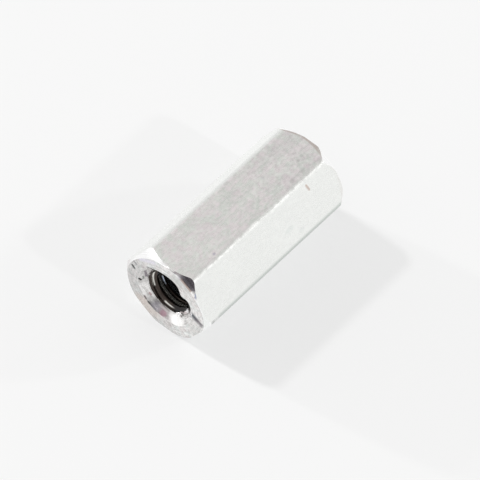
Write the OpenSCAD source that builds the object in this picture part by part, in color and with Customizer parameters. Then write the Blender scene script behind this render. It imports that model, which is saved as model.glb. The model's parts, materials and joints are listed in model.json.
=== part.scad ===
// Hex standoff with a female thread at each end: one piece, cut and turned from hexagonal
// aluminium bar. It lies on one flat, with its bore along +X and +Z up.
// The origin is on the bore's axis, half-way between the two end faces. All sizes are in mm.

/* [Hexagonal bar] */
// Width across two opposite flats
across_flats = 5.5; // [4.5:0.1:8]
// Length from one end face to the other
body_length = 12; // [6:0.5:30]
// Radius that rounds the bar's six long corners
corner_radius = 0.15; // [0.05:0.05:0.4]

/* [Turned ends] */
// How far the flat end face stops short of the flats
face_inset = 0.04; // [0.01:0.01:0.15]
// Slope of the outer chamfer, in degrees from the end face
chamfer_slope = 45; // [30:1:60]

/* [Threaded bore] */
// Nominal diameter of the thread
thread_d = 3; // [2.5:0.1:3.2]
// Thread pitch, which is also how much smaller the tapping drill is
thread_pitch = 0.5; // [0.35:0.05:0.7]
// Diameter of the countersink's mouth in the end face
mouth_d = 3.85; // [3.4:0.05:4.3]
// Angle between opposite sides of the countersink
countersink_angle = 90; // [80:1:120]

/* [Hidden] */
// A circle with this many sides is taken as a true circle
ROUND = 96;
// Straight steps in the arc at each corner of the bar
CORNER_STEPS = 6;
// How far a cutter runs past the surface that it cuts
OVERCUT = 0.5;

// Distance from the axis to a sharp corner of the bar, before rounding
sharp_corner_r = across_flats / 2 / cos(30);
// Distance from the axis to the centre of each rounded corner
corner_centre_r = sharp_corner_r - corner_radius / cos(30);

// Radius of the flat end face
face_r = across_flats / 2 - face_inset;
// Radius and depth at which the outer chamfer has cleared the bar's corners
blank_r = sharp_corner_r + OVERCUT;
chamfer_depth = (blank_r - face_r) * tan(chamfer_slope);

// Diameter of the plain bore, which is the crest of the thread
bore_d = thread_d - thread_pitch;
// Distance along the axis that the countersink's radius takes to grow by one millimetre
countersink_run = 1 / tan(countersink_angle / 2);
countersink_depth = (mouth_d - bore_d) / 2 * countersink_run;

// Turns a shape drawn along +Z so that it lies along +X
module along_x() {
    rotate([0, 90, 0]) children();
}

// Points of the arc that rounds the corner at this angle from the section's +X
function corner_arc(turn) = [
    for (step = [0 : CORNER_STEPS])
        let (lean = turn - 30 + 60 * step / CORNER_STEPS)
            corner_centre_r * [cos(turn), sin(turn)] + corner_radius * [cos(lean), sin(lean)]
];

// Section of the drawn bar: a hexagon with rounded corners and two flats square to X
module bar_section() {
    polygon([for (turn = [30 : 60 : 330]) each corner_arc(turn)]);
}

// The drawn bar, cut to length
module bar() {
    linear_extrude(height = body_length, center = true) bar_section();
}

// The round shape that the lathe leaves: wider than the bar, with both ends chamfered
module turned_blank() {
    face_z = body_length / 2;
    rotate_extrude($fn = ROUND)
        polygon([
            [0, -face_z],
            [face_r, -face_z],
            [blank_r, chamfer_depth - face_z],
            [blank_r, face_z - chamfer_depth],
            [face_r, face_z],
            [0, face_z],
        ]);
}

// Cutter for one countersink, with its mouth at the end face above the XY plane
module countersink_cutter() {
    overcut_r = OVERCUT / countersink_run;
    translate([0, 0, body_length / 2 - countersink_depth])
        cylinder(
            h = countersink_depth + OVERCUT,
            r1 = bore_d / 2,
            r2 = mouth_d / 2 + overcut_r,
            $fn = ROUND
        );
}

// Cutter for the bore and the countersink at each end
module bore_cutter() {
    cylinder(h = body_length + 2 * OVERCUT, d = bore_d, center = true, $fn = ROUND);
    countersink_cutter();
    mirror([0, 0, 1]) countersink_cutter();
}

module hex_standoff() {
    color([0.80, 0.80, 0.79])
        along_x()
            difference() {
                intersection() {
                    bar();
                    turned_blank();
                }
                bore_cutter();
            }
}

hex_standoff();
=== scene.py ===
"""Hex standoff: the looks of a one-piece aluminium spacer with a female thread at each end.

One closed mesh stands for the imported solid. It keeps the solid's sizes and adds the true helical
thread, the softened edges and the small marks that the turning and the use have left. A small
curl of torn metal stands at the left mouth. The standoff lies on a plain pale floor under soft
studio light. Sizes in the classes are in millimetres, and angles are in degrees.
"""

import json
import logging
import math
from dataclasses import dataclass, field
from enum import Enum

import bmesh
import bpy
import numpy as np
from mathutils import Matrix, Vector

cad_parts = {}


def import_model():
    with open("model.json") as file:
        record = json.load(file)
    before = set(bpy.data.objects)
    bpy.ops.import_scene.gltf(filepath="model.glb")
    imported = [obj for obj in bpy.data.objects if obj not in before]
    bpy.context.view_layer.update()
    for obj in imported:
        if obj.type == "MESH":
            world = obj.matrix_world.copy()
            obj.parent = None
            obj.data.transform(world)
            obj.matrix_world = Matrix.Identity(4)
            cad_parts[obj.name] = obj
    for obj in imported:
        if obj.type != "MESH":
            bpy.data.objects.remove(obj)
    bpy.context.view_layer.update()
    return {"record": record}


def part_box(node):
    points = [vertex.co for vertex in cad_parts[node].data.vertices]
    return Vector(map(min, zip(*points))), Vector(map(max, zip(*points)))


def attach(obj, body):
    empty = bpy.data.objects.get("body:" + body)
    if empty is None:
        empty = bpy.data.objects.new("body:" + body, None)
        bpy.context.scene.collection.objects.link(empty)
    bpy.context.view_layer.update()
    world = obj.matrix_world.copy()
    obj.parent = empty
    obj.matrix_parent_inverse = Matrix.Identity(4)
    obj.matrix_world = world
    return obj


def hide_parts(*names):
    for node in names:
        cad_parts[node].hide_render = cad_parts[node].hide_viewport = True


LOG = logging.getLogger("hex_standoff")
MM = 0.001
NODE = "hex_standoff"
BODY = "root"

Pair = tuple[float, float]
Triple = tuple[float, float, float]
Colour = tuple[float, float, float]
Socket = bpy.types.NodeSocket

# Noise keeps near 0.5, so these ranges of it stand for the whole way between two looks.
NARROW_SPREAD: Pair = (0.38, 0.62)
WIDE_SPREAD: Pair = (0.35, 0.65)
LAYER_STRENGTH = 0.55
NUMBER_OPERATIONS = ("DOT_PRODUCT", "LENGTH")

# A rounded corner of a turned end has a row of points at each of these steps.
ROUNDING_STEPS = (0.0, 0.25, 0.5, 0.75, 1.0)
HALF_ROUNDING = len(ROUNDING_STEPS) // 2
SHARP_ANGLE = 32.0


class Zone(Enum):
    """The parts of the surface that take a finish of their own; the value is the material's index."""

    DRAWN = 0
    CHAMFER = 1
    FACE = 2
    COUNTERSINK = 3
    THREAD = 4


class End(Enum):
    """The two ends of the standoff; the value is the side of the X axis that each lies on."""

    LEFT = -1
    RIGHT = 1


class Layers(Enum):
    """How many finer layers a noise has."""

    FEW = 2.0
    MANY = 3.0


# A ring of the mesh at each end: the index of its first point, and its points or their depths.
Rings = dict[End, tuple[int, np.ndarray]]


# --------------------------------------------------------------------------------------------
# Node trees
# --------------------------------------------------------------------------------------------


class Graph:
    """A node tree with short calls for adding and joining its nodes."""

    def __init__(self, tree: bpy.types.NodeTree) -> None:
        """Starts from an empty tree.

        Args:
            tree: The material's or the world's node tree.
        """
        self.tree = tree
        self.tree.nodes.clear()

    def add(self, kind: str, inputs: dict | None = None, **settings: object) -> bpy.types.Node:
        """Adds one node.

        Args:
            kind: The node's type name.
            inputs: Values or sockets for its inputs, by name or index.
            settings: The node's own options.

        Returns:
            The new node.
        """
        node = self.tree.nodes.new(kind)
        for name, value in settings.items():
            setattr(node, name, value)
        for key, value in (inputs or {}).items():
            self.join(value, node.inputs[key])
        return node

    def join(self, value: object, socket: Socket) -> None:
        """Links a socket to an input, or sets the input's own value.

        Args:
            value: An output socket, or a plain value.
            socket: The input that takes it.
        """
        if isinstance(value, bpy.types.NodeSocket):
            self.tree.links.new(value, socket)
        elif socket.type == "RGBA" and len(value) == 3:
            socket.default_value = (*value, 1.0)
        else:
            socket.default_value = value

    def maths(self, operation: str, first: object, second: object = 0.0) -> Socket:
        """A Math node's result.

        Args:
            operation: The sum that it does.
            first: Its first value.
            second: Its second value.

        Returns:
            The output socket.
        """
        return self.add("ShaderNodeMath", {0: first, 1: second}, operation=operation).outputs[0]

    def vectors(self, operation: str, first: object, second: object = (0.0, 0.0, 0.0)) -> Socket:
        """A Vector Math node's result.

        Args:
            operation: The sum that it does.
            first: Its first vector.
            second: Its second vector.

        Returns:
            The output socket: a number where the sum gives one, or else a vector.
        """
        node = self.add("ShaderNodeVectorMath", {0: first, 1: second}, operation=operation)
        return node.outputs["Value" if operation in NUMBER_OPERATIONS else "Vector"]

    def scale(self, vector: object, amount: object) -> Socket:
        """A vector times a number."""
        inputs = {0: vector, "Scale": amount}
        return self.add("ShaderNodeVectorMath", inputs, operation="SCALE").outputs["Vector"]

    def blend(self, first: object, second: object, share: float) -> Socket:
        """Adds two numbers by their weights.

        Args:
            first: The number that has the rest of the weight.
            second: The number that has the share.
            share: The second number's weight, from 0 to 1.

        Returns:
            The output socket.
        """
        rest = self.maths("MULTIPLY", first, 1.0 - share)
        return self.maths("ADD", rest, self.maths("MULTIPLY", second, share))

    def remap(
        self, value: object, source: Pair, target: Pair = (0.0, 1.0), smooth: bool = False
    ) -> Socket:
        """Maps one range of a value to another and holds it there.

        Args:
            value: The value to map.
            source: The range that it comes from.
            target: The range that it goes to.
            smooth: True for a gentle start and end.

        Returns:
            The output socket.
        """
        kind = "SMOOTHSTEP" if smooth else "LINEAR"
        node = self.add("ShaderNodeMapRange", {"Value": value}, interpolation_type=kind)
        for name, number in zip(("From Min", "From Max", "To Min", "To Max"), source + target):
            node.inputs[name].default_value = number
        return node.outputs["Result"]

    def mix(self, share: object, first: object, second: object) -> Socket:
        """Mixes two colours.

        Args:
            share: How much of the second colour shows, from 0 to 1.
            first: The colour at 0.
            second: The colour at 1.

        Returns:
            The output socket.
        """
        # The node's colour sockets come after those for numbers and vectors.
        node = self.add("ShaderNodeMix", data_type="RGBA")
        self.join(share, node.inputs[0])
        self.join(first, node.inputs[6])
        self.join(second, node.inputs[7])
        return node.outputs[2]

    def noise(self, place: object, per_mm: Triple, layers: Layers) -> Socket:
        """Three-dimensional noise, stretched along the axes.

        Args:
            place: The place in millimetres, or as polar() gives it.
            per_mm: How many features there are along each axis, in a millimetre or a radian.
            layers: How many finer layers it has.

        Returns:
            The output socket, from 0 to 1.
        """
        scaled = self.vectors("MULTIPLY", place, per_mm)
        inputs = {"Vector": scaled, "Scale": 1.0, "Detail": layers.value, "Roughness": LAYER_STRENGTH}
        return self.add("ShaderNodeTexNoise", inputs, noise_dimensions="3D").outputs[0]


class SurfaceGraph(Graph):
    """A metal's node tree, with the place on the part in millimetres and round its axis."""

    def __init__(self, name: str) -> None:
        """Makes the material and its first nodes.

        Args:
            name: The material's name.
        """
        self.material = bpy.data.materials.new(name)
        self.material.use_nodes = True
        super().__init__(self.material.node_tree)
        self.place = self.scale(self.add("ShaderNodeTexCoord").outputs["Object"], 1 / MM)
        split = self.add("ShaderNodeSeparateXYZ", {0: self.place})
        self.along, self.across, self.height = split.outputs
        squares = [self.maths("MULTIPLY", s, s) for s in (self.across, self.height)]
        self.radius = self.maths("SQRT", self.maths("ADD", *squares))
        self.turn = self.maths("ARCTAN2", self.height, self.across)

    def polar(self) -> Socket:
        """The place as (distance along the axis, radius, turn in radians), for marks round the part."""
        inputs = {0: self.along, 1: self.radius, 2: self.turn}
        return self.add("ShaderNodeCombineXYZ", inputs).outputs[0]

    def bump(self, height: object, depth: float, normal: object = None) -> Socket:
        """Raises and lowers the surface.

        Args:
            height: The height, from 0 to 1.
            depth: What a height of 1 stands for, in millimetres.
            normal: The surface's normal before this, if it was already changed.

        Returns:
            The changed normal.
        """
        inputs = {"Height": height, "Strength": 1.0, "Distance": depth * MM}
        if normal is not None:
            inputs["Normal"] = normal
        return self.add("ShaderNodeBump", inputs).outputs["Normal"]

    def near(self, centre: Triple, reach: Triple, edge: float) -> Socket:
        """A soft patch round one place.

        Args:
            centre: The patch's middle, in millimetres.
            reach: Its half-size along each axis, in millimetres.
            edge: The share of the half-size over which it fades.

        Returns:
            1 in the patch and 0 outside it.
        """
        offset = self.vectors("SUBTRACT", self.place, centre)
        distance = self.vectors("LENGTH", self.vectors("DIVIDE", offset, reach))
        return self.remap(distance, (1.0 - edge, 1.0), (1.0, 0.0), smooth=True)

    def stripe(self, start: Triple, stop: Triple, half_width: float, edge: float) -> Socket:
        """A soft straight stripe between two places.

        Args:
            start: Its first end, in millimetres.
            stop: Its other end.
            half_width: How far it reaches to each side.
            edge: The share of the half-width over which it fades.

        Returns:
            1 on the stripe and 0 away from it.
        """
        run = tuple(b - a for a, b in zip(start, stop))
        square = sum(r * r for r in run)
        offset = self.vectors("SUBTRACT", self.place, start)
        along = self.vectors("DOT_PRODUCT", offset, tuple(r / square for r in run))
        foot = self.scale(run, self.remap(along, (0.0, 1.0)))
        distance = self.vectors("LENGTH", self.vectors("SUBTRACT", offset, foot))
        return self.remap(distance, (half_width * (1.0 - edge), half_width), (1.0, 0.0), smooth=True)

    def mark(self, colour: object, marks: tuple["Spot | Streak", ...]) -> Socket:
        """Lays marks over a colour.

        Args:
            colour: The colour so far.
            marks: The spots and streaks, in order.

        Returns:
            The colour with the marks on it.
        """
        for mark in marks:
            share = self.maths("MULTIPLY", mark.share(self), mark.strength)
            colour = self.mix(share, colour, mark.colour)
        return colour

    def finish(
        self, colour: Socket, roughness: Socket, normal: Socket, metallic: float = 1.0
    ) -> bpy.types.Material:
        """Joins everything to the metal shader.

        Args:
            colour: The metal's colour.
            roughness: Its roughness.
            normal: Its normal.
            metallic: How bare the metal is, from 1 down to 0 where it is quite dulled.

        Returns:
            The finished material.
        """
        inputs = {"Base Color": colour, "Metallic": metallic, "Roughness": roughness, "Normal": normal}
        shader = self.add("ShaderNodeBsdfPrincipled", inputs)
        self.add("ShaderNodeOutputMaterial", {0: shader.outputs[0]})
        return self.material


# --------------------------------------------------------------------------------------------
# Finishes
# --------------------------------------------------------------------------------------------


@dataclass(frozen=True)
class Spot:
    """A small round mark on a surface: where it is, how far it reaches and its colour."""

    centre: Triple
    reach: Triple
    colour: Colour
    strength: float
    edge: float = 0.6

    def share(self, graph: SurfaceGraph) -> Socket:
        """How much of the mark shows at each place."""
        return graph.near(self.centre, self.reach, self.edge)


@dataclass(frozen=True)
class Streak:
    """A thin straight mark on a surface: its two ends, its half-width and its colour."""

    start: Triple
    stop: Triple
    half_width: float
    colour: Colour
    strength: float
    edge: float = 0.7

    def share(self, graph: SurfaceGraph) -> Socket:
        """How much of the mark shows at each place."""
        return graph.stripe(self.start, self.stop, self.half_width, self.edge)


@dataclass(frozen=True)
class DrawnFinish:
    """The flats of the bar: cold-drawn aluminium with fine lines along it and a mottled grain.

    The upper flat has a coarser, faintly coloured mottle than the others, darker towards the right end.
    """

    light: Colour = (0.848, 0.858, 0.838)
    dark: Colour = (0.824, 0.834, 0.816)
    upper_light: Colour = (0.98, 0.965, 0.945)
    upper_dark: Colour = (0.82, 0.81, 0.793)
    upper_far: Colour = (0.675, 0.66, 0.655)
    upper_reach: Pair = (-3.0, 6.0)
    upper_spread: Pair = (0.40, 0.60)
    warm: Colour = (0.95, 0.855, 0.91)
    cool: Colour = (0.84, 0.93, 0.87)
    tint_share: float = 0.42
    upper: Pair = (2.60, 2.72)
    # Painted shade: the rounded corners of the flats take this darker colour, which dims their
    # highlights.
    edge_shade_colour: Colour = (0.74, 0.75, 0.735)
    edge_radius: Pair = (3.065, 3.10)
    edge_share: float = 0.9
    burr_colour: Colour = (0.66, 0.60, 0.57)
    burr_reach: Pair = (8.56, 8.64)
    burr_spread: Pair = (0.35, 0.55)
    burr_shares: Pair = (0.25, 0.95)
    burr_beside: float = 0.25
    grain: Triple = (3.85, 5.5, 5.5)
    lines: Triple = (0.35, 9.0, 9.0)
    cloud: Triple = (0.5, 0.9, 0.9)
    tint: Triple = (2.09, 2.75, 2.75)
    patches: Triple = (1.375, 2.2, 2.2)
    burr_patches: Triple = (2.0, 2.4, 2.4)
    cloud_share: float = 0.4
    patch_share: float = 0.35
    rough_grain_share: float = 0.6
    grain_beside: float = 0.16
    grain_depth: float = 0.0022
    line_depth: float = 0.0006
    roughness: Pair = (0.22, 0.36)
    marks: tuple[Spot | Streak, ...] = (
        Streak((3.73, -1.83, 2.34), (3.82, -2.00, 2.04), 0.11, (0.50, 0.36, 0.30), 0.65),
        Spot((1.55, -2.55, 1.05), (0.50, 0.16, 0.28), (0.70, 0.74, 0.72), 0.45),
        Spot((2.30, -2.85, 0.56), (0.30, 0.14, 0.22), (0.70, 0.74, 0.72), 0.35),
        Spot((-3.53, -1.28, 2.75), (0.14, 0.12, 0.10), (0.45, 0.44, 0.56), 0.50),
        Spot((-4.36, -0.22, 2.75), (0.10, 0.10, 0.10), (1.00, 1.00, 1.00), 0.80),
        Spot((3.19, -1.23, 2.75), (0.24, 0.20, 0.10), (0.54, 0.54, 0.53), 0.42, 0.8),
        Spot((4.47, -0.58, 2.75), (0.18, 0.16, 0.10), (0.54, 0.49, 0.51), 0.30, 0.8),
        Spot((4.14, -1.19, 2.75), (0.24, 0.18, 0.10), (0.58, 0.59, 0.57), 0.35, 0.8),
        Spot((4.87, -0.50, 2.75), (0.18, 0.16, 0.10), (0.56, 0.58, 0.57), 0.35, 0.8),
        Spot((2.25, 0.13, 2.75), (0.18, 0.18, 0.10), (0.58, 0.60, 0.62), 0.30, 0.8),
        Spot((4.50, 0.75, 2.75), (1.90, 0.75, 0.30), (0.72, 0.67, 0.70), 0.30, 1.0),
        # Painted shade: a darker line along the front edge at mid-height, and a darker spot at its left
        # end, where that edge mirrors the shaded floor under the bar.
        Streak((-4.9, -3.13, 0.05), (5.7, -3.13, 0.05), 0.26, (0.56, 0.60, 0.57), 0.80, 0.9),
        Spot((-5.50, -3.10, 0.02), (0.16, 0.20, 0.20), (0.52, 0.53, 0.52), 0.7),
    )

    def material(self) -> bpy.types.Material:
        """Builds the material.

        Returns:
            The material.
        """
        g = SurfaceGraph("drawn_aluminium")
        grain = g.noise(g.place, self.grain, Layers.MANY)
        lines = g.noise(g.place, self.lines, Layers.MANY)
        cloud = g.noise(g.place, self.cloud, Layers.FEW)
        tone = g.blend(grain, cloud, self.cloud_share)
        upper = g.remap(g.height, self.upper)
        plain = g.mix(g.remap(tone, NARROW_SPREAD), self.dark, self.light)
        colour = g.mix(upper, plain, self.upper_flat_colour(g, tone))
        # Painted shade on the rounded corners, which dims their highlights.
        edge = g.remap(g.radius, self.edge_radius, (0.0, self.edge_share), smooth=True)
        colour = g.mix(edge, colour, self.edge_shade_colour)
        colour = g.mix(self.burr(g, upper), colour, self.burr_colour)
        roughness = g.remap(g.blend(lines, grain, self.rough_grain_share), WIDE_SPREAD, self.roughness)
        relief = g.maths("MULTIPLY", grain, g.remap(upper, (0.0, 1.0), (self.grain_beside, 1.0)))
        normal = g.bump(relief, self.grain_depth)
        normal = g.bump(lines, self.line_depth, normal)
        return g.finish(g.mark(colour, self.marks), roughness, normal)

    def upper_flat_colour(self, g: SurfaceGraph, tone: Socket) -> Socket:
        """The colour of the upper flat.

        Args:
            g: The material's node tree.
            tone: The plain flats' mottle.

        Returns:
            The colour, which is darker towards the right end.
        """
        patches = g.noise(g.place, self.patches, Layers.FEW)
        tint = g.noise(g.place, self.tint, Layers.MANY)
        darker = g.mix(g.remap(g.along, self.upper_reach), self.upper_dark, self.upper_far)
        coarser = g.blend(tone, patches, self.patch_share)
        upper_mottle = g.mix(g.remap(coarser, self.upper_spread), darker, self.upper_light)
        tinted = g.mix(g.remap(tint, NARROW_SPREAD), self.cool, self.warm)
        return g.mix(self.tint_share, upper_mottle, tinted)

    def burr(self, g: SurfaceGraph, upper: Socket) -> Socket:
        """How much of the brown burr shows where the flats meet the right chamfer.

        Args:
            g: The material's node tree.
            upper: 1 on the upper flat and 0 on the others.

        Returns:
            The share of the burr's colour, which is patchy and weaker beside the upper flat.
        """
        reached = g.remap(g.maths("ADD", g.along, g.radius), self.burr_reach, smooth=True)
        noise = g.noise(g.place, self.burr_patches, Layers.FEW)
        patchy = g.remap(noise, self.burr_spread, self.burr_shares)
        shown = g.remap(upper, (0.0, 1.0), (self.burr_beside, 1.0))
        return g.maths("MULTIPLY", g.maths("MULTIPLY", reached, patchy), shown)


@dataclass(frozen=True)
class ChamferFinish:
    """The chamfers across the six corners: bright from the tool, with faint rings."""

    light: Colour = (0.99, 0.99, 0.99)
    dark: Colour = (0.89, 0.89, 0.89)
    rings: Triple = (22.0, 22.0, 0.8)
    ring_depth: float = 0.0007
    roughness: Pair = (0.16, 0.24)
    marks: tuple[Spot | Streak, ...] = (
        # Painted shade: a dark patch on the left chamfer at its upper front corner, where it mirrors a
        # dark part of the room.
        Spot((-5.85, -1.55, 2.30), (0.40, 1.10, 0.95), (0.45, 0.42, 0.46), 0.9, 0.4),
        Streak((-5.98, -1.02, 2.50), (-5.96, -1.98, 1.90), 0.16, (0.46, 0.37, 0.33), 0.95, 0.9),
        Spot((-5.94, -1.88, 1.98), (0.24, 0.22, 0.24), (0.98, 0.97, 0.96), 0.9, 0.4),
        Streak((-5.90, -2.02, 2.00), (-6.00, -2.10, 1.80), 0.09, (0.40, 0.46, 0.62), 0.8),
        Spot((-5.90, -2.70, 0.20), (0.30, 0.60, 1.00), (0.86, 0.88, 0.86), 0.9),
        Spot((-5.80, -1.60, -2.60), (0.50, 1.30, 0.70), (0.72, 0.71, 0.72), 0.9),
        Spot((-5.80, 2.90, 0.20), (0.30, 0.60, 1.40), (0.74, 0.70, 0.69), 0.9),
    )

    def material(self) -> bpy.types.Material:
        """Builds the material.

        Returns:
            The material.
        """
        g = SurfaceGraph("chamfered_aluminium")
        rings = g.noise(g.polar(), self.rings, Layers.FEW)
        colour = g.mix(g.remap(rings, WIDE_SPREAD), self.dark, self.light)
        roughness = g.remap(rings, WIDE_SPREAD, self.roughness)
        return g.finish(g.mark(colour, self.marks), roughness, g.bump(rings, self.ring_depth))


@dataclass(frozen=True)
class FaceFinish:
    """The flat end rings: faced in the lathe, with smeared tool rings, painted shade on one side and
    small marks.
    """

    light: Colour = (0.93, 0.925, 0.915)
    dark: Colour = (0.37, 0.362, 0.355)
    warm: Colour = (0.97, 0.89, 0.88)
    cool: Colour = (0.88, 0.95, 0.93)
    tint_share: float = 0.35
    # Painted shade: the ring darkens towards this colour on its +Y and lower side.
    side_shade: Colour = (0.30, 0.295, 0.29)
    side_shade_share: float = 0.36
    side_shade_aim: Pair = (0.9, 0.42)
    side_shade_reach: Pair = (-0.4, 2.0)
    rings: Triple = (8.0, 8.0, 3.0)
    cloud: Triple = (4.5, 4.5, 4.5)
    tint: Triple = (2.6, 2.6, 2.6)
    cloud_share: float = 0.5
    ring_depth: float = 0.0008
    cloud_depth: float = 0.0012
    roughness: Pair = (0.20, 0.38)
    marks: tuple[Spot | Streak, ...] = (
        Streak((-6.0, 1.95, 1.75), (-6.0, 0.95, 2.30), 0.24, (0.80, 0.77, 0.87), 0.75, 1.0),
        Streak((-6.0, 2.40, 0.73), (-6.0, 2.27, 0.61), 0.13, (0.06, 0.06, 0.06), 0.95),
        Streak((-6.0, 2.35, 1.19), (-6.0, 2.13, 1.07), 0.11, (0.30, 0.30, 0.31), 0.8),
        Streak((-5.98, -1.60, 0.32), (-5.98, -1.92, 0.18), 0.22, (0.24, 0.26, 0.26), 0.8, 1.0),
        Streak((-5.97, -2.00, 0.14), (-5.97, -2.22, 0.03), 0.34, (0.07, 0.08, 0.10), 0.95, 1.0),
        Streak((-5.97, -2.30, -0.02), (-5.97, -2.62, -0.17), 0.30, (0.16, 0.14, 0.16), 0.9, 1.0),
        Spot((-6.00, -0.90, 2.10), (0.20, 1.10, 0.60), (0.48, 0.47, 0.45), 0.35),
        Spot((-6.00, 1.20, -1.95), (0.20, 1.50, 0.90), (0.72, 0.58, 0.50), 0.35),
        Spot((-6.00, -2.20, -0.90), (0.20, 0.60, 0.90), (0.60, 0.58, 0.56), 0.35),
        Streak((-6.0, 1.42, -1.30), (-6.0, 1.30, -1.42), 0.08, (0.25, 0.22, 0.22), 0.8),
        Streak((-6.0, 1.66, 1.22), (-6.0, 1.45, 1.35), 0.08, (0.32, 0.25, 0.28), 0.8),
        # Painted shade: a black line at the lip on the upper +Y side of the mouth.
        Streak((-6.0, 1.35, 1.49), (-6.0, 0.92, 1.68), 0.10, (0.06, 0.06, 0.09), 0.95),
        Streak((-6.0, 1.13, -1.57), (-6.0, 0.50, -1.88), 0.07, (0.10, 0.10, 0.10), 0.8),
    )

    def material(self) -> bpy.types.Material:
        """Builds the material.

        Returns:
            The material.
        """
        g = SurfaceGraph("faced_aluminium")
        rings = g.noise(g.polar(), self.rings, Layers.MANY)
        cloud = g.noise(g.place, self.cloud, Layers.MANY)
        tint = g.noise(g.place, self.tint, Layers.FEW)
        tone = g.blend(rings, cloud, self.cloud_share)
        colour = g.mix(g.remap(tone, NARROW_SPREAD), self.dark, self.light)
        tinted = g.mix(g.remap(tint, NARROW_SPREAD), self.cool, self.warm)
        colour = g.mix(self.tint_share, colour, tinted)
        # Painted shade on the ring's +Y and lower side.
        across = g.maths("MULTIPLY", g.across, self.side_shade_aim[0])
        side = g.maths("SUBTRACT", across, g.maths("MULTIPLY", g.height, self.side_shade_aim[1]))
        colour = g.mix(g.remap(side, self.side_shade_reach, (0.0, self.side_shade_share)), colour, self.side_shade)
        roughness = g.remap(tone, WIDE_SPREAD, self.roughness)
        normal = g.bump(rings, self.ring_depth)
        normal = g.bump(cloud, self.cloud_depth, normal)
        return g.finish(g.mark(colour, self.marks), roughness, normal)


@dataclass(frozen=True)
class CountersinkFinish:
    """The two countersinks: cut in one quick pass, then scuffed and dulled, with small dark marks."""

    light: Colour = (0.86, 0.85, 0.84)
    dark: Colour = (0.40, 0.39, 0.38)
    spread: Pair = (0.36, 0.60)
    scuffs: Triple = (5.0, 5.0, 5.0)
    scratches: Triple = (12.0, 12.0, 1.4)
    scratch_share: float = 0.4
    scratch_depth: float = 0.0014
    metallic: float = 0.72
    roughness: Pair = (0.16, 0.28)
    marks: tuple[Spot | Streak, ...] = (
        Spot((-5.85, 1.70, 0.30), (0.40, 0.55, 1.10), (0.62, 0.61, 0.60), 0.35, 0.5),
        # Painted highlight: a white patch on the lower front of the cone, where it mirrors the bright
        # light.
        Spot((-5.88, -0.92, -1.60), (0.40, 1.02, 0.62), (1.0, 0.99, 0.98), 0.92, 0.6),
        Spot((-5.80, -1.80, 0.10), (0.40, 0.50, 0.80), (0.95, 0.96, 1.0), 0.6, 0.5),
        # Painted shade: a black line at the lip on the +Y side of the mouth.
        Streak((-5.97, 1.90, -0.10), (-5.90, 1.82, -0.20), 0.10, (0.02, 0.02, 0.02), 0.97),
        Streak((-5.83, 1.61, 0.71), (-5.69, 1.61, 0.14), 0.12, (0.16, 0.13, 0.16), 0.85),
        Streak((-5.81, 1.74, 0.09), (-5.80, 1.72, -0.10), 0.08, (0.22, 0.24, 0.22), 0.8),
        Streak((-5.99, 1.42, -1.30), (-5.99, 1.30, -1.42), 0.09, (0.16, 0.12, 0.12), 0.85),
        Streak((-5.74, 1.26, -1.10), (-5.72, 1.17, -1.17), 0.09, (0.40, 0.27, 0.28), 0.8),
        Streak((-6.00, 1.12, -1.58), (-5.97, 0.62, -1.80), 0.10, (0.05, 0.05, 0.05), 0.9),
        Spot((-5.88, 0.60, -1.65), (0.40, 0.50, 0.30), (0.88, 0.86, 0.92), 0.6),
        Spot((-5.87, 0.10, -1.80), (0.30, 0.30, 0.26), (0.70, 0.47, 0.55), 0.85),
        Streak((-5.71, 0.50, -1.56), (-5.70, -0.02, -1.65), 0.11, (1.0, 1.0, 0.98), 0.95, 0.7),
        # Painted shade: a black line at the lip on the upper +Y side of the mouth.
        Streak((-5.97, 1.25, 1.47), (-5.97, 0.90, 1.68), 0.09, (0.06, 0.06, 0.09), 0.95),
    )

    def material(self) -> bpy.types.Material:
        """Builds the material.

        Returns:
            The material.
        """
        g = SurfaceGraph("countersunk_aluminium")
        scuffs = g.noise(g.polar(), self.scuffs, Layers.MANY)
        scratches = g.noise(g.polar(), self.scratches, Layers.MANY)
        tone = g.blend(scuffs, scratches, self.scratch_share)
        colour = g.mix(g.remap(tone, self.spread), self.dark, self.light)
        roughness = g.remap(scuffs, WIDE_SPREAD, self.roughness)
        normal = g.bump(tone, self.scratch_depth)
        return g.finish(g.mark(colour, self.marks), roughness, normal, self.metallic)


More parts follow.
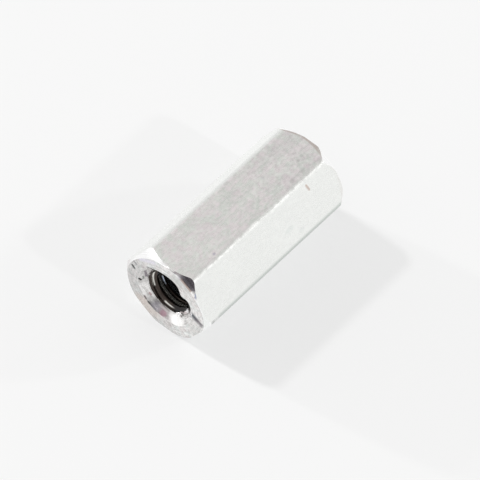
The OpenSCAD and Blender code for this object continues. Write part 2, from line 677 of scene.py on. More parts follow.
@dataclass(frozen=True)
class ThreadFinish:
    """The thread: tapped aluminium, bright on its flanks, with painted shade at its crests.

    The lead-in at each mouth has painted shade too, and the flanks are painted darker deep in the bore.
    """

    flank: Colour = (0.80, 0.79, 0.74)
    # Painted shade: the near-black laid on the crests and on the lead-in.
    bore_shade: Colour = (0.05, 0.040, 0.034)
    # Painted shade: the flanks darken towards this colour deep in the bore.
    deep: Colour = (0.25, 0.27, 0.29)
    crest: Pair = (1.375, 1.415)
    lead_in: Pair = (5.425, 5.465)
    fade: Pair = (4.4, 5.3)
    drag: Triple = (14.0, 14.0, 1.2)
    drag_depth: float = 0.0008
    metallic: float = 0.85
    roughness: Pair = (0.18, 0.30)
    marks: tuple[Spot | Streak, ...] = (
        # Painted shade: the lower front of the bore near the mouth is near-black, and a stripe on its
        # lower +Y side too.
        Spot((-5.45, -0.95, -0.95), (0.50, 1.05, 0.85), (0.03, 0.028, 0.028), 0.97, 0.3),
        Streak((-5.42, 1.10, -0.86), (-5.48, 0.56, -1.29), 0.26, (0.05, 0.038, 0.032), 0.97, 0.5),
        # Painted highlight: a pale band on the thread's +Y side, about 1.2 mm into the bore, dimmer at
        # its lower end.
        Streak((-4.77, 1.22, -0.48), (-4.78, 1.08, -0.74), 0.09, (0.46, 0.52, 0.62), 0.9),
        Streak((-4.78, 1.08, -0.74), (-4.77, 0.92, -0.89), 0.06, (0.22, 0.25, 0.29), 0.8),
        Spot((-5.50, -1.27, -0.66), (0.16, 0.22, 0.20), (0.98, 0.98, 0.99), 0.95, 0.4),
        Spot((-5.55, -1.18, -0.92), (0.12, 0.22, 0.22), (0.97, 0.90, 0.90), 0.9, 0.4),
        # Painted shade: a blue-black stripe on the front side of the bore, just inside the mouth.
        Streak((-5.57, -1.54, 0.02), (-5.50, -1.42, 0.34), 0.16, (0.10, 0.11, 0.17), 0.9),
    )

    def material(self) -> bpy.types.Material:
        """Builds the material.

        Returns:
            The material.
        """
        g = SurfaceGraph("tapped_aluminium")
        drag = g.noise(g.polar(), self.drag, Layers.FEW)
        outward = g.maths("ABSOLUTE", g.along)
        # Painted shade: darker deep in the bore, and near-black on the crests and at the lead-in.
        colour = g.mix(g.remap(outward, self.fade, smooth=True), self.deep, self.flank)
        at_crest = g.remap(g.radius, self.crest, (1.0, 0.0))
        shaded = g.maths("MAXIMUM", at_crest, g.remap(outward, self.lead_in))
        colour = g.mark(g.mix(shaded, colour, self.bore_shade), self.marks)
        roughness = g.remap(drag, WIDE_SPREAD, self.roughness)
        return g.finish(colour, roughness, g.bump(drag, self.drag_depth), self.metallic)


@dataclass(frozen=True)
class BurrFinish:
    """The curl at the mouth: freshly torn metal, white where it starts and browned further on."""

    light: Colour = (0.96, 0.93, 0.92)
    dark: Colour = (0.72, 0.58, 0.57)
    torn: Triple = (9.0, 9.0, 9.0)
    torn_depth: float = 0.0012
    roughness: Pair = (0.25, 0.45)
    metallic: float = 0.2
    marks: tuple[Spot | Streak, ...] = (
        Spot((-5.76, -0.80, -1.20), (0.26, 0.26, 0.30), (1.0, 1.0, 1.0), 0.95, 0.5),
    )

    def material(self) -> bpy.types.Material:
        """Builds the material.

        Returns:
            The material.
        """
        g = SurfaceGraph("torn_aluminium")
        torn = g.noise(g.place, self.torn, Layers.FEW)
        colour = g.mix(g.remap(torn, NARROW_SPREAD), self.dark, self.light)
        roughness = g.remap(torn, WIDE_SPREAD, self.roughness)
        normal = g.bump(torn, self.torn_depth)
        return g.finish(g.mark(colour, self.marks), roughness, normal, self.metallic)


# --------------------------------------------------------------------------------------------
# Sections
# --------------------------------------------------------------------------------------------


@dataclass(frozen=True)
class Columns:
    """The section of the bar as points in order round the axis."""

    turn: np.ndarray
    radius: np.ndarray

    @property
    def count(self) -> int:
        """How many points the section has."""
        return len(self.turn)

    def at(self, index: np.ndarray, along: np.ndarray, radius: np.ndarray) -> np.ndarray:
        """Points in chosen columns.

        Args:
            index: The column of each point.
            along: The place of each point along the axis.
            radius: Its distance from the axis.

        Returns:
            The points, one row each.
        """
        turn = self.turn[index]
        return np.stack([along, -radius * np.cos(turn), radius * np.sin(turn)], axis=1)

    def ring(self, along: np.ndarray | float, radius: np.ndarray | float) -> np.ndarray:
        """One ring of points round the axis.

        Args:
            along: The place along the axis, for all points or for each.
            radius: The distance from the axis, for all points or for each.

        Returns:
            The points, one row each.
        """
        places = np.broadcast_to(along, self.turn.shape)
        return self.at(np.arange(self.count), places, np.broadcast_to(radius, self.turn.shape))


@dataclass(frozen=True)
class HexBar:
    """The drawn bar: a hexagon with softly rounded corners and faintly crowned flats.

    The corners' radii go round from the front corner, over the top.
    """

    across_flats: float
    corner_radii: tuple[float, ...] = (0.28, 0.48, 0.42, 0.45, 0.45, 0.45)
    crown: float = 0.005
    crown_power: int = 6
    flat_steps: int = 30
    corner_steps: int = 8

    def columns(self) -> Columns:
        """The section's points: an arc at each corner and even steps along each flat.

        Returns:
            The section.
        """
        arcs = []
        for corner, radius in enumerate(self.corner_radii):
            turn = corner * math.pi / 3
            centre = (self.across_flats / 2 - radius) / math.cos(math.pi / 6)
            arc = turn + np.linspace(-math.pi / 6, math.pi / 6, self.corner_steps + 1)
            middle = centre * np.array([math.cos(turn), math.sin(turn)])
            arcs.append(middle + radius * np.stack([np.cos(arc), np.sin(arc)], axis=1))
        points = []
        for arc, following in zip(arcs, arcs[1:] + arcs[:1]):
            points.append(arc)
            steps = np.linspace(0.0, 1.0, self.flat_steps + 1)[1:-1, None]
            points.append(arc[-1] * (1 - steps) + following[0] * steps)
        outline = np.concatenate(points)
        turn = np.unwrap(np.mod(np.arctan2(outline[:, 1], outline[:, 0]), 2 * math.pi))
        from_middle = np.abs(np.mod(turn, math.pi / 3) - math.pi / 6) / (math.pi / 6)
        fall = 1.0 - self.crown * from_middle**self.crown_power
        return Columns(turn, np.hypot(outline[:, 0], outline[:, 1]) * fall)


@dataclass(frozen=True)
class Groove:
    """A straight score across an end face: its two ends, half-width and depth."""

    start: Pair
    stop: Pair
    half_width: float
    depth: float

    def cut(self, points: np.ndarray) -> np.ndarray:
        """How deep the score is at each point of the face.

        Args:
            points: Points with their Y and Z in the last two columns.

        Returns:
            The depth at each point.
        """
        start = np.array(self.start)
        run = np.array(self.stop) - start
        offset = points[:, 1:] - start
        share = np.clip(offset @ run / (run @ run), 0.0, 1.0)
        distance = np.linalg.norm(offset - share[:, None] * run, axis=1)
        return self.depth * np.exp(-((distance / self.half_width) ** 2))


@dataclass(frozen=True)
class Swell:
    """A place where a turned edge stands wider or narrower than its circle."""

    turn: float
    before: float
    after: float
    amount: float

    def at(self, turn: np.ndarray) -> np.ndarray:
        """The change of radius at each angle.

        Args:
            turn: The angles, in radians.

        Returns:
            The change at each angle.
        """
        offset = np.mod(turn - math.radians(self.turn) + math.pi, 2 * math.pi) - math.pi
        width = np.where(offset < 0, math.radians(self.before), math.radians(self.after))
        return self.amount * np.exp(-((offset / width) ** 2))


def soften(
    before: np.ndarray, corner: np.ndarray, after: np.ndarray, reach: float | np.ndarray
) -> list[np.ndarray]:
    """Rounds a corner between two straight lines, in each column.

    Args:
        before: A point on the first line, as (depth, radius) rows.
        corner: The corner.
        after: A point on the second line.
        reach: How far from the corner the rounding starts, for all columns or for each.

    Returns:
        A row of points for each of the rounding's steps, from the first line to the second.
    """
    reach = np.reshape(reach, (-1, 1))
    first = corner + reach * (before - corner) / np.linalg.norm(before - corner, axis=1, keepdims=True)
    last = corner + reach * (after - corner) / np.linalg.norm(after - corner, axis=1, keepdims=True)
    rows = []
    for t in ROUNDING_STEPS:
        rows.append((1 - t) ** 2 * first + 2 * t * (1 - t) * corner + t**2 * last)
    return rows


@dataclass(frozen=True)
class TurnedEnd:
    """One end of the standoff: its chamfer, its flat ring and the mouth of its countersink.

    The swells change the mouth, the ring's outer rim and the chamfer's shoulder on the bar. The
    centre is the place, across the bar, that the tool turned round.
    """

    end: End
    face_radius: float
    crest_radius: float
    sink_depth: float
    mouth_radius: float = 1.935
    chamfer_angle: float = 45.5
    centre: Pair = (0.0, 0.0)
    least_break: float = 0.012
    flat_edge: float = 0.006
    rim_share: float = 0.4
    rim_edge: Pair = (0.008, 0.130)
    mouth_edge: float = 0.022
    even_depth: float = 0.36
    face_rows: int = 14
    mouth_swells: tuple[Swell, ...] = ()
    rim_swells: tuple[Swell, ...] = ()
    shoulder_swells: tuple[Swell, ...] = ()
    grooves: tuple[Groove, ...] = ()

    def tool_edge(self, columns: Columns) -> np.ndarray:
        """The radius at which the tool's cut crosses the end plane, from the bar's own axis.

        Args:
            columns: The section.

        Returns:
            The radius at each column, which may lie beyond the bar.
        """
        toward = self.centre[1] * np.sin(columns.turn) - self.centre[0] * np.cos(columns.turn)
        offset = math.hypot(*self.centre)
        return toward + np.sqrt(self.face_radius**2 - offset**2 + toward**2)

    def chamfer_depth(self, columns: Columns) -> np.ndarray:
        """How far from the end face the chamfer meets the outline of the bar."""
        depth = (columns.radius - self.tool_edge(columns)) * math.tan(math.radians(self.chamfer_angle))
        return np.maximum(depth + self.total(self.shoulder_swells, columns), self.least_break)

    def face_edge(self, columns: Columns) -> np.ndarray:
        """The radius at which the flat ring ends at each column."""
        edge = self.tool_edge(columns) + self.total(self.rim_swells, columns)
        return np.minimum(edge, columns.radius - self.least_break)

    @staticmethod
    def total(swells: tuple[Swell, ...], columns: Columns) -> np.ndarray:
        """The sum of some swells at each column."""
        return sum((s.at(columns.turn) for s in swells), np.zeros(columns.count))

    def mouth(self, columns: Columns) -> np.ndarray:
        """The radius of the countersink's mouth at each column."""
        return self.mouth_radius + self.total(self.mouth_swells, columns)

    def sink_radius(self, columns: Columns, depth: np.ndarray, index: np.ndarray) -> np.ndarray:
        """The countersink's radius at a depth below the end face.

        Args:
            columns: The section.
            depth: The depths.
            index: The column of each depth.

        Returns:
            The radius at each depth.
        """
        mouth = self.mouth(columns)[index]
        slope = (self.mouth_radius - self.crest_radius) / self.sink_depth
        knee = self.mouth_radius - slope * self.even_depth
        near = mouth + depth * (knee - mouth) / self.even_depth
        return np.where(depth < self.even_depth, near, self.mouth_radius - slope * depth)

    def rows(self, columns: Columns) -> tuple[list[np.ndarray], list[Zone]]:
        """The rows of (depth, radius) from the outline of the bar to the mouth of the bore.

        Args:
            columns: The section.

        Returns:
            The rows, and the zone of the band that follows each of them.
        """
        zero = np.zeros(columns.count)
        deep = self.chamfer_depth(columns)
        shoulder = np.stack([deep, columns.radius], axis=1)
        further_on = shoulder + (1.0, 0.0)
        rim = np.stack([zero, self.face_edge(columns)], axis=1)
        lip = np.stack([zero, self.mouth(columns)], axis=1)
        root = np.stack([zero + self.sink_depth, zero + self.crest_radius], axis=1)
        outer = soften(further_on, shoulder, rim, self.flat_edge)
        rounding = np.clip(self.rim_share * np.linalg.norm(shoulder - rim, axis=1), *self.rim_edge)
        middle = soften(shoulder, rim, lip, rounding)
        inner = soften(rim, lip, root, self.mouth_edge)
        face = []
        for t in np.linspace(0.0, 1.0, self.face_rows + 1)[1:-1]:
            face.append(middle[-1] * (1 - t) + inner[0] * t)
        rows = outer + middle + face + inner
        for row in rows[len(outer) + 1 :]:
            points = columns.ring(0.0, row[:, 1])
            for groove in self.grooves:
                row[:, 0] += groove.cut(points)
        zones = [Zone.DRAWN] * HALF_ROUNDING
        zones += [Zone.CHAMFER] * (2 * HALF_ROUNDING + 1)
        zones += [Zone.FACE] * (len(rows) - 1 - len(zones) - HALF_ROUNDING)
        zones += [Zone.COUNTERSINK] * HALF_ROUNDING
        return rows, zones

    def place(self, columns: Columns, row: np.ndarray, half_length: float) -> np.ndarray:
        """Turns a row of (depth, radius) into points of this end."""
        return columns.ring(self.end.value * (half_length - row[:, 0]), row[:, 1])


@dataclass(frozen=True)
class ThreadedBore:
    """The right-handed thread that runs through the standoff, as one helical strip.

    The flank points are shares of the flank's run along the axis and of its height.
    """

    crest_radius: float
    root_radius: float
    pitch: float
    crest_depth: float
    crest_turn: float
    flank_angle: float = 30.0
    root_share: float = 0.0625
    flank_points: tuple[Pair, ...] = ((0.0, 0.03), (0.33, 0.34), (0.67, 0.67))
    crest_rise: float = 0.14
    crest_break: Pair = (0.045, 0.0135)
    lead_depths: Pair = (0.44, 0.54)
    lead_radius: float = 1.54

    def profile(self) -> tuple[np.ndarray, np.ndarray]:
        """One pitch of the thread's section, from root to root.

        Returns:
            The places along the pitch, from 0 to 1, and the radius at each.
        """
        height = self.root_radius - self.crest_radius
        flank = height * math.tan(math.radians(self.flank_angle)) / self.pitch
        stop = self.root_share + flank
        before, after = self.crest_break
        half = [(0.0, self.root_radius)]
        for run, fall in self.flank_points:
            half.append((self.root_share + run * flank, self.root_radius - fall * height))
        half.append((stop - before, self.crest_radius + self.crest_rise * height))
        half.append((stop + after, self.crest_radius))
        mirrored = [(1.0 - u, r) for u, r in reversed(half[1:])]
        places, radii = zip(*half, (0.5, self.crest_radius), *mirrored)
        return np.array(places), np.array(radii)

    def lead(self, depth: np.ndarray) -> np.ndarray:
        """The radius that the tap's first teeth have cleared at each depth below an end face."""
        return np.interp(depth, self.lead_depths, (self.lead_radius, self.crest_radius))


@dataclass
class Shell:
    """A mesh under construction: points in millimetres, and faces with their zones."""

    points: list[np.ndarray] = field(default_factory=list)
    faces: list[tuple[int, ...]] = field(default_factory=list)
    zones: list[int] = field(default_factory=list)
    count: int = 0

    def add_points(self, points: np.ndarray) -> int:
        """Adds points.

        Args:
            points: The points, one row each.

        Returns:
            The index of the first of them.
        """
        self.points.append(points)
        first = self.count
        self.count += len(points)
        return first

    def bridge(self, first: int, second: int, size: int, zone: Zone) -> None:
        """Joins two rings of equal size with four-sided faces.

        Args:
            first: The index of the first ring's first point.
            second: The index of the second ring's first point.
            size: How many points each ring has.
            zone: The finish of the faces.
        """
        for i in range(size):
            j = (i + 1) % size
            self.faces.append((first + i, first + j, second + j, second + i))
        self.zones.extend([zone.value] * size)

    def add_face(self, corners: tuple[int, ...], zone: Zone) -> None:
        """Adds one face, without corners that coincide.

        Args:
            corners: The indices of its corners.
            zone: Its finish.
        """
        kept = tuple(c for k, c in enumerate(corners) if c != corners[k - 1])
        if len(set(kept)) > 2:
            self.faces.append(kept)
            self.zones.append(zone.value)

    def build(self, name: str) -> bpy.types.Object:
        """Makes the object, checks that it is closed and gives it smooth shading.

        Args:
            name: The object's name.

        Returns:
            The object, in metres.
        """
        mesh = bpy.data.meshes.new(name)
        mesh.from_pydata((np.concatenate(self.points) * MM).tolist(), [], self.faces)
        mesh.polygons.foreach_set("material_index", self.zones)
        work = bmesh.new()
        work.from_mesh(mesh)
        bmesh.ops.recalc_face_normals(work, faces=work.faces)
        if work.calc_volume(signed=True) < 0:
            bmesh.ops.reverse_faces(work, faces=work.faces)
        open_edges = sum(not e.is_manifold for e in work.edges)
        work.to_mesh(mesh)
        work.free()
        if open_edges:
            raise ValueError(f"{name} has {open_edges} open edges")
        mesh.shade_smooth()
        mesh.set_sharp_from_angle(angle=math.radians(SHARP_ANGLE))
        mesh.validate()
        made = bpy.data.objects.new(name, mesh)
        bpy.context.scene.collection.objects.link(made)
        return made


# --------------------------------------------------------------------------------------------
# The standoff
# --------------------------------------------------------------------------------------------


def direction(azimuth: float, elevation: float) -> Vector:
    """A unit vector from the part towards a place round it.

    Args:
        azimuth: The angle from +X towards +Y, in degrees.
        elevation: The angle above the floor, in degrees.

    Returns:
        The vector.
    """
    a = math.radians(azimuth)
    e = math.radians(elevation)
    return Vector((math.cos(e) * math.cos(a), math.cos(e) * math.sin(a), math.sin(e)))


@dataclass
class HexStandoff:
    """The whole standoff: the bar, its two turned ends and its thread, as one closed piece."""

    length: float
    across_flats: float
    crest_radius: float
    sink_depth: float
    face_inset: float = 0.04
    right_face_inset: float = -0.05
    root_radius: float = 1.5
    pitch: float = 0.5
    body_rows: int = 44
    spare_turns: int = 4
    spare_pitches: int = 2
    snap_share: float = 0.35
    least_gap: float = 1e-6

    def __post_init__(self) -> None:
        """Sets up the sub-assemblies from the sizes."""
        self.bar = HexBar(self.across_flats)
        self.left = TurnedEnd(
            End.LEFT,
            self.across_flats / 2 - self.face_inset,
            self.crest_radius,
            self.sink_depth,
            centre=(-0.03, -0.085),
            mouth_swells=(
                Swell(turn=45.0, before=8.0, after=15.0, amount=-0.355),
                Swell(turn=302.0, before=22.0, after=22.0, amount=0.14),
                Swell(turn=138.0, before=22.0, after=26.0, amount=0.10),
            ),
            rim_swells=(
                Swell(turn=180.0, before=18.0, after=18.0, amount=0.08),
                Swell(turn=240.0, before=18.0, after=18.0, amount=-0.07),
                Swell(turn=302.0, before=16.0, after=16.0, amount=0.08),
                Swell(turn=350.0, before=28.0, after=34.0, amount=0.10),
                Swell(turn=60.0, before=16.0, after=14.0, amount=-0.045),
                Swell(turn=86.0, before=7.0, after=7.0, amount=0.12),
                Swell(turn=112.0, before=12.0, after=12.0, amount=0.05),
            ),
            shoulder_swells=(
                Swell(turn=62.0, before=20.0, after=22.0, amount=-0.08),
                Swell(turn=0.0, before=30.0, after=30.0, amount=-0.06),
            ),
            grooves=(Groove(start=(-1.58, 0.31), stop=(-2.74, -0.24), half_width=0.08, depth=0.06),),
        )
        self.right = TurnedEnd(
            End.RIGHT,
            self.across_flats / 2 - self.right_face_inset,
            self.crest_radius,
            self.sink_depth,
            chamfer_angle=52.0,
            centre=(0.04, -0.07),
            shoulder_swells=(
                Swell(turn=74.0, before=12.0, after=14.0, amount=-0.15),
                Swell(turn=58.0, before=7.0, after=7.0, amount=0.10),
                Swell(turn=20.0, before=18.0, after=20.0, amount=-0.12),
                Swell(turn=0.0, before=9.0, after=9.0, amount=0.12),
            ),
        )
        self.bore = ThreadedBore(
            self.crest_radius, self.root_radius, self.pitch, crest_depth=0.72, crest_turn=240.0
        )

    def build(self) -> bpy.types.Object:
        """Builds the closed mesh.

        Returns:
            The object, without its finishes.
        """
        columns = self.bar.columns()
        shell = Shell()
        half = self.length / 2
        lips = {}
        shoulders = {}
        for end in (self.left, self.right):
            rows, zones = end.rows(columns)
            rings = [shell.add_points(end.place(columns, row, half)) for row in rows]
            for first, second, zone in zip(rings, rings[1:], zones):
                shell.bridge(first, second, columns.count, zone)
            shoulders[end.end] = (rings[0], end.place(columns, rows[0], half))
            lips[end.end] = (rings[-1], rows[-1][:, 0])
        self.add_flats(shell, columns, shoulders)
        self.add_thread(shell, columns, lips)
        return shell.build("standoff_body")

    def add_flats(self, shell: Shell, columns: Columns, shoulders: Rings) -> None:
        """Adds the six flats and their rounded corners between the two chamfers.

        Args:
            shell: The mesh under construction.
            columns: The section.
            shoulders: The first ring's index and points at each end.
        """
        first, start = shoulders[End.LEFT]
        last, stop = shoulders[End.RIGHT]
        rings = [first]
        for t in np.linspace(0.0, 1.0, self.body_rows + 1)[1:-1]:
            rings.append(shell.add_points(start * (1 - t) + stop * t))
        rings.append(last)
        for a, b in zip(rings, rings[1:]):
            shell.bridge(a, b, columns.count, Zone.DRAWN)

    def strip_start(self, crest_edge: float) -> float:
        """Where the thread's strip starts, beyond the right end.

        Args:
            crest_edge: Where along one pitch, from 0 to 1, the crest starts.

        Returns:
            The place along the axis, chosen so that a crest lies at the depth and turn of the bore.
        """
        half = self.length / 2
        crest = self.bore.crest_depth - half
        phase = crest + self.pitch * math.radians(self.bore.crest_turn) / (2 * math.pi)
        offset = phase - self.pitch * crest_edge
        whole = math.floor((half + self.spare_pitches * self.pitch - offset) / self.pitch)
        return offset + whole * self.pitch

    def add_thread(self, shell: Shell, columns: Columns, lips: Rings) -> None:
        """Adds the countersinks and the thread as one helical strip between the two mouths.

        Args:
            shell: The mesh under construction.
            columns: The section.
            lips: The innermost ring's index and depths at each end.
        """
        places, radii = self.bore.profile()
        half = self.length / 2
        size = columns.count
        rows = len(places) - 1
        turns = math.ceil(self.length / self.pitch) + self.spare_turns
        steps = np.arange(turns * size + 1)
        column = steps % size
        turned = columns.turn[column] / (2 * math.pi) + steps // size
        start = self.strip_start(places[rows // 2])
        along = start + self.pitch * (places[None, :rows] - turned[:, None])
        grid = np.broadcast_to(column[:, None], along.shape)
        cut = np.broadcast_to(radii[None, :rows], along.shape)
        radius = cut
        index = np.full(along.shape, -1)
        for end in (self.left, self.right):
            depth = half - end.end.value * along
            cut = np.maximum(cut, self.bore.lead(depth))
            radius = np.maximum(np.maximum(radius, cut), end.sink_radius(columns, depth, grid))
            ring, depths = lips[end.end]
            outside = depth < depths[grid] + self.snap_share * self.pitch / rows
            index[outside] = ring + grid[outside]
        free = index < 0
        base = shell.add_points(columns.at(grid[free], along[free], radius[free]))
        index[free] = base + np.arange(free.sum())
        turn_before = np.where(steps < size, lips[End.RIGHT][0] + column, index[steps - size, 0])
        index = np.column_stack([index, turn_before])
        for i, j in np.ndindex(len(steps) - 1, rows):
            corners = (index[i, j], index[i + 1, j], index[i + 1, j + 1], index[i, j + 1])
            if max(corners) >= base:
                shell.add_face(tuple(int(c) for c in corners), self.zone_at(cut[i, j], radius[i, j]))

    def zone_at(self, thread_radius: float, radius: float) -> Zone:
        """The finish inside the bore: the countersink where its cone stands wider than the thread."""
        wider = radius > max(thread_radius, self.root_radius) + self.least_gap
        return Zone.COUNTERSINK if wider else Zone.THREAD

    @staticmethod
    def dress(piece: bpy.types.Object) -> None:
        """Gives the piece its finishes, in the order of the zones."""
        for finish in (DrawnFinish(), ChamferFinish(), FaceFinish(), CountersinkFinish(), ThreadFinish()):
            piece.data.materials.append(finish.material())


@dataclass
class ThreadBurr:
    """The small curl of metal that the tap has left at the left mouth, as one closed ribbon."""

    centre: Triple = (-5.62, -1.04, -1.17)
    azimuth: float = -150.0
    elevation: float = 26.0
    turns: float = 1.12
    start_turn: float = -18.0
    radius: Pair = (0.270, 0.120)
    width: Pair = (0.300, 0.050)
    thickness: float = 0.022
    settle: float = 0.22
    steps: int = 72

    def build(self) -> bpy.types.Object:
        """Builds the curl.

        Returns:
            The object, without its finish.
        """
        axis = np.array(direction(self.azimuth, self.elevation))
        side = np.cross(axis, (0.0, 0.0, 1.0))
        side /= np.linalg.norm(side)
        up = np.cross(side, axis)
        shell = Shell()
        rings = []
        for t in np.linspace(0.0, 1.0, self.steps + 1):
            shrink = 1.0 - math.exp(-t / self.settle)
            reach = np.interp(shrink, (0.0, 1.0), self.radius)
            half = np.interp(shrink, (0.0, 1.0), self.width) / 2
            turn = math.radians(self.start_turn) + 2 * math.pi * self.turns * t
            out = math.cos(turn) * side + math.sin(turn) * up
            outer = reach + self.thickness
            corners = ((reach, -half), (reach, half), (outer, half), (outer, -half))
            section = np.array([self.centre + r * out + h * axis for r, h in corners])
            rings.append(shell.add_points(section))
        for first, second in zip(rings, rings[1:]):
            shell.bridge(first, second, len(corners), Zone.DRAWN)
        for first in (rings[0], rings[-1]):
            shell.add_face(tuple(range(first, first + len(corners))), Zone.DRAWN)
        return shell.build("thread_burr")

    @staticmethod
    def dress(piece: bpy.types.Object) -> None:
        """Gives the curl its finish."""
        piece.data.materials.append(BurrFinish().material())


# --------------------------------------------------------------------------------------------
# Studio
# --------------------------------------------------------------------------------------------


@dataclass(frozen=True)
class SkyPatch:
    """A soft round patch of the studio's walls: whole inside one angle, and gone outside another."""

    azimuth: float
    elevation: float
    inner: float
    outer: float
    colour: Colour


@dataclass(frozen=True)
class StudioLamp:
    """One small soft lamp: where it stands, how wide it is and how strongly it lights the floor."""

    name: str
    azimuth: float
    elevation: float
    width: float
    irradiance: float
    distance: float = 800.0

    def build(self) -> bpy.types.Object:
        """Adds the lamp, aimed at the part.

        Returns:
            The lamp.
        """
        lamp = bpy.data.lights.new(self.name, "AREA")
        lamp.shape = "DISK"
        lamp.size = self.width * MM
        lamp.energy = self.irradiance * math.pi * (self.distance * MM) ** 2
        made = bpy.data.objects.new(self.name, lamp)
        away = direction(self.azimuth, self.elevation)
        made.location = away * self.distance * MM
        made.rotation_mode = "QUATERNION"
        made.rotation_quaternion = away.to_track_quat("Z", "Y")
        bpy.context.scene.collection.objects.link(made)
        return made


@dataclass(frozen=True)
class Studio:
    """The pale floor, the pale walls and the four lamps."""

    floor_colour: Colour = (0.80, 0.80, 0.80)
    floor_shown: float = 0.317
    floor_glow: Colour = (0.549, 0.552, 0.553)
    floor_mirrored: float = 0.12
    floor_width: float = 6000.0
    horizon: Colour = (0.97, 0.97, 0.97)
    ceiling: Colour = (0.672, 0.665, 0.655)
    wall_rise: Pair = (0.15, 0.80)
    patches: tuple[SkyPatch, ...] = (
        SkyPatch(122.0, 3.0, 30.0, 35.0, (1.16, 1.16, 1.16)),
        SkyPatch(168.0, 28.0, 9.0, 26.0, (0.36, 0.31, 0.32)),
        SkyPatch(-169.0, 28.0, 6.0, 15.0, (0.26, 0.25, 0.27)),
        SkyPatch(-167.0, 7.0, 10.0, 16.0, (0.050, 0.044, 0.050)),
        SkyPatch(16.0, 22.0, 8.0, 24.0, (0.58, 0.525, 0.52)),
    )
    lamps: tuple[StudioLamp, ...] = (
        StudioLamp("key_lamp", 99.8, 42.3, 55.0, 1.22),
        StudioLamp("fill_lamp", -83.2, 33.3, 36.0, 0.54),
        StudioLamp("back_lamp", 100.5, 17.0, 40.0, 0.93),
        StudioLamp("side_lamp", -36.0, 21.0, 50.0, 0.53),
    )

    def build(self, floor_height: float) -> list[bpy.types.ID]:
        """Builds the floor, the walls and the lamps.

        Args:
            floor_height: The height that the part rests at, in metres.

        Returns:
            What it has built.
        """
        return [self.add_floor(floor_height), self.add_walls(), *(lamp.build() for lamp in self.lamps)]

    def add_floor(self, height: float) -> bpy.types.Object:
        """Adds the floor.

        Args:
            height: Its height, in metres.

        Returns:
            The floor.
        """
        half = self.floor_width * MM / 2
        corners = [(x * half, y * half, height) for x, y in ((-1, -1), (1, -1), (1, 1), (-1, 1))]
        mesh = bpy.data.meshes.new("floor")
        mesh.from_pydata(corners, [], [tuple(range(len(corners)))])
        mesh.materials.append(self.floor_material())
        made = bpy.data.objects.new("floor", mesh)
        bpy.context.scene.collection.objects.link(made)
        return made

    def floor_material(self) -> bpy.types.Material:
        """Makes the floor's material: plain where it takes light, and even where it is looked at.

        Returns:
            The material.
        """
        material = bpy.data.materials.new("pale_floor")
        material.use_nodes = True
        graph = Graph(material.node_tree)
        plain = graph.add("ShaderNodeBsdfDiffuse", {"Color": self.floor_colour})
        shown = graph.add("ShaderNodeBsdfDiffuse", {"Color": (self.floor_shown,) * 3})
        path = graph.add("ShaderNodeLightPath").outputs
        mirrored = (1.0, 1.0 + self.floor_mirrored)
        strength = graph.remap(path["Is Glossy Ray"], (0.0, 1.0), mirrored)
        glow = graph.add("ShaderNodeEmission", {"Color": self.floor_glow, "Strength": strength})
        both = graph.add("ShaderNodeAddShader", {0: shown.outputs[0], 1: glow.outputs[0]})
        seen = graph.maths("MAXIMUM", path["Is Camera Ray"], path["Is Glossy Ray"])
        seen = graph.maths("MAXIMUM", seen, path["Is Transmission Ray"])
        inputs = {0: seen, 1: plain.outputs[0], 2: both.outputs[0]}
        shader = graph.add("ShaderNodeMixShader", inputs)
        graph.add("ShaderNodeOutputMaterial", {0: shader.outputs[0]})
        return material

    def add_walls(self) -> bpy.types.World:
        """Sets the world to pale walls that dim towards the ceiling, with the soft patches.

        Returns:
            The world.
        """
        world = bpy.data.worlds.new("studio_walls")
        world.use_nodes = True
        bpy.context.scene.world = world
        graph = Graph(world.node_tree)
        toward = graph.add("ShaderNodeTexCoord").outputs["Generated"]
        up = graph.add("ShaderNodeSeparateXYZ", {0: toward}).outputs[2]
        colour = graph.mix(graph.remap(up, self.wall_rise, smooth=True), self.horizon, self.ceiling)
        for patch in self.patches:
            aim = direction(patch.azimuth, patch.elevation)
            facing = graph.vectors("DOT_PRODUCT", toward, tuple(aim))
            limits = (math.cos(math.radians(patch.outer)), math.cos(math.radians(patch.inner)))
            colour = graph.mix(graph.remap(facing, limits, smooth=True), colour, patch.colour)
        shader = graph.add("ShaderNodeBackground", {"Color": colour, "Strength": 1.0})
        graph.add("ShaderNodeOutputWorld", {0: shader.outputs[0]})
        return world


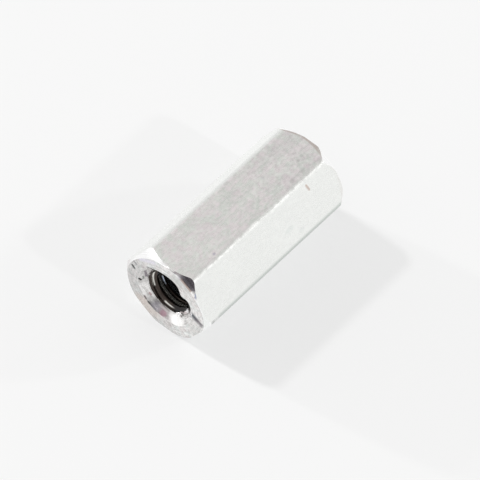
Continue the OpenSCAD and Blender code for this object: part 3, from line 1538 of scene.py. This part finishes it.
@dataclass(frozen=True)
class StudioCamera:
    """The camera: a long lens that looks down on the left end and the top of the standoff.

    Its clipping distances are in metres.
    """

    azimuth: float = -53.99
    elevation: float = 54.00
    roll: float = 5.48
    distance: float = 452.3
    lens: float = 610.6
    shift: Pair = (0.0101, -0.0165)
    sensor: float = 36.0
    clip: Pair = (0.01, 20.0)

    def build(self, target: Vector) -> bpy.types.Object:
        """Adds the camera and makes it the scene's own.

        Args:
            target: The point that it turns round, in metres.

        Returns:
            The camera.
        """
        data = bpy.data.cameras.new("camera")
        data.sensor_width = self.sensor
        data.lens = self.lens
        data.shift_x, data.shift_y = self.shift
        data.clip_start, data.clip_end = self.clip
        back = direction(self.azimuth - 90.0, self.elevation)
        right = direction(self.azimuth, 0.0)
        upright = Matrix((right, back.cross(right), back)).transposed()
        turned = upright @ Matrix.Rotation(math.radians(self.roll), 3, "Z")
        made = bpy.data.objects.new("camera", data)
        made.matrix_world = Matrix.Translation(target + back * self.distance * MM) @ turned.to_4x4()
        bpy.context.scene.collection.objects.link(made)
        bpy.context.scene.camera = made
        return made


# --------------------------------------------------------------------------------------------
# The scene
# --------------------------------------------------------------------------------------------


def main() -> None:
    """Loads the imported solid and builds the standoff, the studio and the camera round it."""
    logging.basicConfig(level=logging.INFO, format="%(name)s: %(message)s")
    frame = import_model()
    low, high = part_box(NODE)
    bore = next(m for m in frame["record"]["mounts"] if m["name"] == "threaded_bore")
    length = (high.x - low.x) / MM
    standoff = HexStandoff(
        length=length,
        across_flats=(high.z - low.z) / MM,
        crest_radius=bore["dims"]["r_mm"],
        sink_depth=(length - bore["dims"]["length_mm"]) / 2,
    )
    body = standoff.build()
    standoff.dress(body)
    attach(body, BODY)
    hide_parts(NODE)
    LOG.info("%s: %d faces", body.name, len(body.data.polygons))
    burr = ThreadBurr()
    curl = burr.build()
    burr.dress(curl)
    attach(curl, BODY)
    LOG.info("%s: %d faces", curl.name, len(curl.data.polygons))
    for made in Studio().build(low.z):
        LOG.info("%s: in place", made.name)
    camera = StudioCamera().build((low + high) / 2)
    LOG.info("%s: in place", camera.name)

    bpy.context.scene.view_settings.view_transform = "Standard"


if __name__ == "__main__":
    main()
